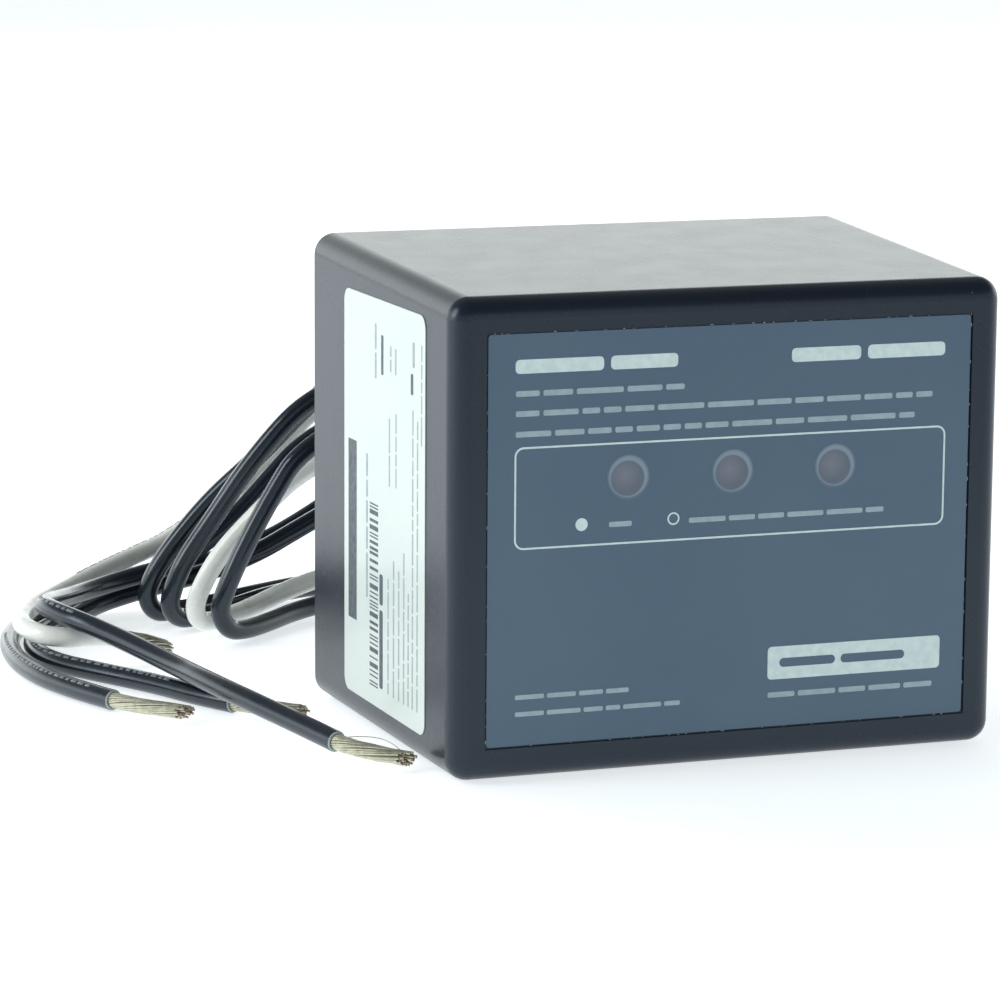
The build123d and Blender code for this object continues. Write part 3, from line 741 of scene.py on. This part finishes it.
def reach_from(x_mm, z_mm):
    """Distance from a point near the window's middle, reaching 1 at 4.17 mm."""
    shift = film.node("ShaderNodeMapping")
    shift.inputs["Location"].default_value = (-x_mm * MM, 0.0, -z_mm * MM)
    film.link(film.place, shift.inputs["Vector"])
    length = film.node("ShaderNodeVectorMath", operation="LENGTH")
    film.link(shift.outputs["Vector"], length.inputs[0])
    scaled = film.node("ShaderNodeMath", operation="MULTIPLY")
    scaled.inputs[1].default_value = REACH_PER_METRE
    film.link(length.outputs["Value"], scaled.inputs[0])
    return scaled.outputs["Value"]


def stops(source, *places):
    """A colour ramp with these (place, colour) stops."""
    made = film.node("ShaderNodeValToRGB")
    for i, (place, color) in enumerate(places):
        stop = made.color_ramp.elements[i] if i < 2 else made.color_ramp.elements.new(place)
        stop.position, stop.color = place, (*color, 1.0)
    film.link(source, made.inputs["Fac"])
    return made.outputs["Color"]


ring_color = stops(
    reach_from(0.05, 0.1),
    (0.0, (0.165, 0.222, 0.275)),
    (0.86, (0.178, 0.240, 0.300)),
    (1.0, (0.070, 0.119, 0.173)),
)
# The dark middle is lighter towards its upper left: a painted highlight.
disc_color_with_painted_highlight = stops(reach_from(-0.7, 0.5), (0.0, (0.150, 0.168, 0.212)), (0.75, (0.094, 0.116, 0.158)))
# The dark middle sits a little low and to the left in the ring, so the paler ring is thicker at the top:
# painted light on the upper rim.
disc_mask_and_painted_lit_rim = stops(reach_from(-0.12, -0.22), (0.76, (0, 0, 0)), (0.83, (1, 1, 1)))
blend = film.node("ShaderNodeMix", data_type="RGBA")
# A mix node's colour sockets share their names with its number sockets, so they go by index.
factor, color_a, color_b = blend.inputs[0], blend.inputs[6], blend.inputs[7]
film.link(disc_mask_and_painted_lit_rim, factor)
film.link(disc_color_with_painted_highlight, color_a)
film.link(ring_color, color_b)
film.link(blend.outputs[2], film.shader.inputs["Base Color"])
film.worn(1.5, 0.02).bump(0.6, 0.0006)
WINDOW_EDGE = 4.3
FILM_SIDES = 48


def film_circle(r, y):
    """Points of a circle round a window's middle, at y from the label's face."""
    turns = [2 * math.pi * k / FILM_SIDES for k in range(FILM_SIDES)]
    return [(r * math.cos(turn), y, r * math.sin(turn)) for turn in turns]


for i, x in enumerate(WINDOW_XS, start=1):
    points = [(0, -0.03, 0)] + film_circle(3.0, -0.03) + film_circle(WINDOW_EDGE, -0.03)
    points += film_circle(WINDOW_EDGE, 0.02)
    faces = []
    for k in range(FILM_SIDES):
        j = (k + 1) % FILM_SIDES
        middle, outer, back = 1, 1 + FILM_SIDES, 1 + 2 * FILM_SIDES
        faces.append([0, middle + k, middle + j])
        faces.append([middle + k, outer + k, outer + j, middle + j])
        faces.append([outer + k, back + k, back + j, outer + j])
    middle_at = (x, LABEL_Y, WINDOW_Z)
    window_film = mesh_piece("window_film_%d" % i, points, faces, film, smooth=True, at=middle_at)

# ---------------------------------------------------------------- side label

HALF_WIDTH = 55.0
FRONT_Y = -48.5
SIDE_DRAFT = 0.0262
SIDE_LABEL_THICKNESS = 0.15
# Lines of bars, each as its place across, its low and high end, its height and a seed.
SIDE_LINES = (
    (2.3, 26.4, 54.6, 2.2, "s a"),
    (7.2, 69.8, 80.4, 2.0, "s b"),
    (15.6, 72.2, 77.2, 1.6, "s c"),
    (18.4, 72.0, 77.0, 1.6, "s d"),
    (14.3, 9.8, 32.3, 1.5, "s e"),
    (17.4, 9.7, 36.3, 1.5, "s f"),
    (20.3, 9.7, 34.9, 1.5, "s g"),
    (23.1, 9.7, 38.9, 1.5, "s h"),
    (25.6, 9.8, 31.6, 1.5, "s i"),
    (27.9, 9.8, 66.8, 1.5, "s j"),
    (30.5, 9.8, 65.1, 1.5, "s k"),
    (32.6, 60.7, 79.6, 1.4, "s l"),
    (28.6, 74.8, 79.6, 2.6, "s m"),
    (14.9, 50.2, 63.3, 1.5, "s n"),
    (18.6, 50.5, 64.7, 1.5, "s o"),
)


def on_side(u, v, out):
    """u runs from rear to front as -y, v is up."""
    y = -u
    x = -HALF_WIDTH - SIDE_DRAFT * (y - FRONT_Y) - (SIDE_LABEL_THICKNESS + out)
    return (x, y, v)


def columns(u, v0, v1, tall, seed, bold=False):
    """A line of plain blocks that reads upward, tops toward the rear."""
    return [[(u - q, p) for p, q in shape] for shape in plain_words(v0, v1, 0.0, tall, seed, bold)]


solid = [box_shape(-9.3, 20.6, -4.5, 56.0)]
draw = random.Random("bars")
STRIPES_LOW, STRIPES_HIGH = 9.6, 45.2
v = STRIPES_LOW
while v < STRIPES_HIGH:
    wide = draw.choice((0.3, 0.3, 0.6, 0.9))
    solid.append(box_shape(3.2, v, 8.0, v + wide))
    v += wide + draw.choice((0.35, 0.6, 0.9))
solid += columns(11.4, 10.0, 32.4, 3.2, "side big", bold=True)
solid += columns(11.4, 71.0, 78.6, 2.2, "side short", bold=True)
solid += columns(28.0, 69.6, 73.6, 2.2, "side tiny", bold=True)
sheet_of("side_solid_blocks", solid, dark_ink, on_side)
lines = []
for line in SIDE_LINES:
    lines += columns(*line)
side_ink = (
    Look("side small ink", (0.26, 0.31, 0.34), 0.45)
    .tint(1.2, (0.34, 0.39, 0.41)).worn(1, 0.1).bump(0.2, 0.004)
)
sheet_of("side_small_blocks", lines, side_ink, on_side)

# ---------------------------------------------------------------- threaded nipple

PITCH_MM = 25.4 / 14
NIPPLE_Z = 47.0
SEGMENTS = 96
MOUTH_Y = 48.5
THREAD_START_Y = 28.0
FLANGE_Y = 25.6
FLANGE_RADIUS = 14.0
BORE_RADIUS = 7.9
CREST_RADIUS = 10.4
THREAD_DEPTH = 0.95


def thread_radius(y, turn):
    """Crest 10.4 and root 9.45, running out at the mouth and into the cover."""
    phase = ((y - THREAD_START_Y) / PITCH_MM - turn / (2 * math.pi)) % 1.0
    wave = abs(2 * phase - 1.0)
    depth = THREAD_DEPTH * min(1.0, max(0.0, (wave - 0.12) / 0.76))
    lead_in = min(1.0, max(0.0, (MOUTH_Y - y) / 1.0))
    run_out = min(1.0, max(0.0, (y - THREAD_START_Y - 0.2) / 1.2))
    return CREST_RADIUS - depth * run_out - 0.75 * (1 - lead_in) * (1 - depth / 1.9)


profile = [
    (36.0, BORE_RADIUS),
    (FLANGE_Y, BORE_RADIUS),
    (FLANGE_Y, FLANGE_RADIUS),
    (THREAD_START_Y, FLANGE_RADIUS),
]
rows = [[(y, r)] * SEGMENTS for y, r in profile]
steps = 160
for i in range(steps + 1):
    y = THREAD_START_Y + (MOUTH_Y - THREAD_START_Y) * i / steps
    rows.append([(y, thread_radius(y, 2 * math.pi * k / SEGMENTS)) for k in range(SEGMENTS)])
rows += [[(MOUTH_Y, 8.3)] * SEGMENTS, [(MOUTH_Y - 0.3, BORE_RADIUS)] * SEGMENTS]
points, faces = [], []
for row in rows:
    for k, (y, r) in enumerate(row):
        turn = 2 * math.pi * k / SEGMENTS
        points.append((r * math.sin(turn), y, NIPPLE_Z + r * math.cos(turn)))
for i in range(len(rows)):
    nxt = (i + 1) % len(rows)
    for k in range(SEGMENTS):
        j = (k + 1) % SEGMENTS
        faces.append([i * SEGMENTS + k, i * SEGMENTS + j, nxt * SEGMENTS + j, nxt * SEGMENTS + k])
nipple = mesh_piece("nipple_thread", points, faces, nipple_plastic, smooth=True)
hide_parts("threaded_nipple")

# ---------------------------------------------------------------- board details

BOARD_FRONT_Y = -34.0
BOARD_REAR_Y = -32.4


def on_board_front(u, v, out):
    return (u, BOARD_FRONT_Y - out, v)


def on_board_rear(u, v, out):
    return (u, BOARD_REAR_Y + out, v)


VARISTOR_XS = (-34.0, -23.0, -12.0)
VARISTOR_ZS = (62.0, 27.0)
VARISTOR_LEGS = ((-1.2, -5), (1.2, 5))
FUSE_PIN_ZS = (38.95, 50.05)
CAPACITOR_X = -0.5
CAPACITOR_ZS = (25.0, 44.5, 64.0)
TERMINALS = ((30, 62), (30, 30), (17, 30), (17, 62))
silk = []
for x in WINDOW_XS:
    silk += band_shapes(disc_shape(x, WINDOW_Z, 5.2), 0.2)
    silk += band_shapes(box_shape(x - 2.0, 32.0, x + 2.0, 44.0), 0.15)
    silk += band_shapes(box_shape(x + 5.0, 32.6, x + 9.0, 43.4), 0.15)
sheet_of("board_front_print", silk, silk_ink, on_board_front, 0.03)
silk = []
for x in VARISTOR_XS:
    for z in VARISTOR_ZS:
        silk += band_shapes(box_shape(x - 3.4, z - 10.8, x + 3.4, z + 10.8), 0.15)
for x, z in TERMINALS:
    silk += band_shapes(box_shape(x - 4.8, z - 4.8, x + 4.8, z + 4.8), 0.15)
sheet_of("board_rear_print", silk, silk_ink, on_board_rear, 0.03)
tracks = []
for x in VARISTOR_XS:
    tracks.append(box_shape(x - 2.6, 14.0, x + 2.6, 24.0))
    tracks.append(box_shape(x - 2.2, 30.5, x + 2.2, 38.0))
    tracks.append(box_shape(x - 2.2, 51.0, x + 2.2, 58.5))
    tracks.append(box_shape(x - 2.6, 65.0, x + 2.6, 75.5))
tracks.append(box_shape(-37, 12.5, 33, 15.5))
tracks.append(box_shape(-37, 74.0, 33, 77.0))
sheet_of("board_tracks", tracks, copper_trace, on_board_front, 0.035)
points, faces = [], []
spots = [(x + dx, z + dz) for x in VARISTOR_XS for z in VARISTOR_ZS for dx, dz in VARISTOR_LEGS]
spots += [(x, z) for x in VARISTOR_XS for z in FUSE_PIN_ZS]
spots += [(CAPACITOR_X, z + dz) for z in CAPACITOR_ZS for dz in (-5, 5)]
for u, v in spots:
    base, count = len(points), 12
    for r, out in ((1.25, 0.0), (0.9, 0.35), (0.35, 0.9)):
        points += [on_board_front(across, high, out) for across, high in disc_shape(u, v, r, count)]
    for low_ring in (base, base + count):
        for k in range(count):
            j = (k + 1) % count
            faces.append([low_ring + k, low_ring + j, low_ring + count + j, low_ring + count + k])
    faces.append([base + 2 * count + k for k in range(count)])
    faces.append([base + count - 1 - k for k in range(count)])
mesh_piece("solder_joints", points, faces, solder, smooth=True)

# ---------------------------------------------------------------- stage and light


def studio(name, size, at, aim, power, color=(1, 1, 1)):
    """A rectangular lamp aimed at a point."""
    light = bpy.data.lights.new(name, "AREA")
    light.shape = "RECTANGLE"
    light.size, light.size_y = size
    light.energy = power
    light.color = color
    lamp = collect(light, name)
    lamp.location = at
    lamp.rotation_mode = "QUATERNION"
    lamp.rotation_quaternion = (Vector(aim) - Vector(at)).to_track_quat("-Z", "Y")
    return lamp


floor_look = (
    Look("studio floor with painted glow", (0.77, 0.80, 0.82), 0.7, specular=0.2)
    .tint(400, (0.75, 0.785, 0.805)).bump(3, 0.02)
)
# The floor glows, strongest under and behind the device and fading towards the front: painted light that
# lifts contact shadows and dims what the front faces reflect.
depth = floor_look.node("ShaderNodeSeparateXYZ")
floor_look.link(floor_look.place, depth.inputs[0])
painted_floor_glow = floor_look.node("ShaderNodeMapRange", interpolation_type="SMOOTHSTEP")
painted_floor_glow.inputs["From Min"].default_value = -0.75
painted_floor_glow.inputs["From Max"].default_value = -0.05
painted_floor_glow.inputs["To Min"].default_value = 0.12
painted_floor_glow.inputs["To Max"].default_value = 0.68
floor_look.link(depth.outputs["Y"], painted_floor_glow.inputs["Value"])
floor_look.link(painted_floor_glow.outputs["Result"], floor_look.shader.inputs["Emission Strength"])
floor_look.shader.inputs["Emission Color"].default_value = (0.94, 0.98, 1.0, 1.0)
data = bpy.data.meshes.new("studio_floor")
floor_points = [(-4, -3, -0.0004), (4, -3, -0.0004), (4, 4, -0.0004), (-4, 4, -0.0004)]
floor_faces = [[0, 1, 2, 3]]
data.from_pydata(floor_points, [], floor_faces)
data.materials.append(floor_look.material)
data.shade_smooth()
floor = collect(data, "studio_floor")

world = bpy.data.worlds.new("studio")
world.use_nodes = True
sky = world.node_tree
toward = sky.nodes.new("ShaderNodeSeparateXYZ")
sky.links.new(sky.nodes.new("ShaderNodeTexCoord").outputs["Generated"], toward.inputs[0])


def fade(source, start, end, near, far):
    """A smooth change of strength along one direction."""
    made = sky.nodes.new("ShaderNodeMapRange")
    made.interpolation_type = "SMOOTHSTEP"
    for socket, value in zip(("From Min", "From Max", "To Min", "To Max"), (start, end, near, far)):
        made.inputs[socket].default_value = value
    sky.links.new(source, made.inputs["Value"])
    return made.outputs["Result"]


both = sky.nodes.new("ShaderNodeMath")
both.operation = "MULTIPLY"
sky.links.new(fade(toward.outputs["Z"], 0.2, 0.52, 2.1, 0.26), both.inputs[0])
sky.links.new(fade(toward.outputs["Y"], -0.4, 0.5, 0.3, 1.0), both.inputs[1])
sky.nodes["Background"].inputs["Color"].default_value = (0.95, 1.0, 0.985, 1.0)
sky.links.new(both.outputs["Value"], sky.nodes["Background"].inputs["Strength"])
scene.world = world
middle = (0.0, 0.0, 0.04)
top = studio("top box", (1.8, 0.9), (-0.35, 1.1, 1.0), middle, 12)
top.visible_glossy = False
studio("left box", (0.5, 0.7), (-1.1, 0.1, 0.55), middle, 6, (0.95, 0.98, 1.0))
fill = studio("front fill", (0.8, 0.4), (0.45, -1.4, 0.32), middle, 5.5)
fill.visible_glossy = False
scene.view_settings.view_transform = "Standard"
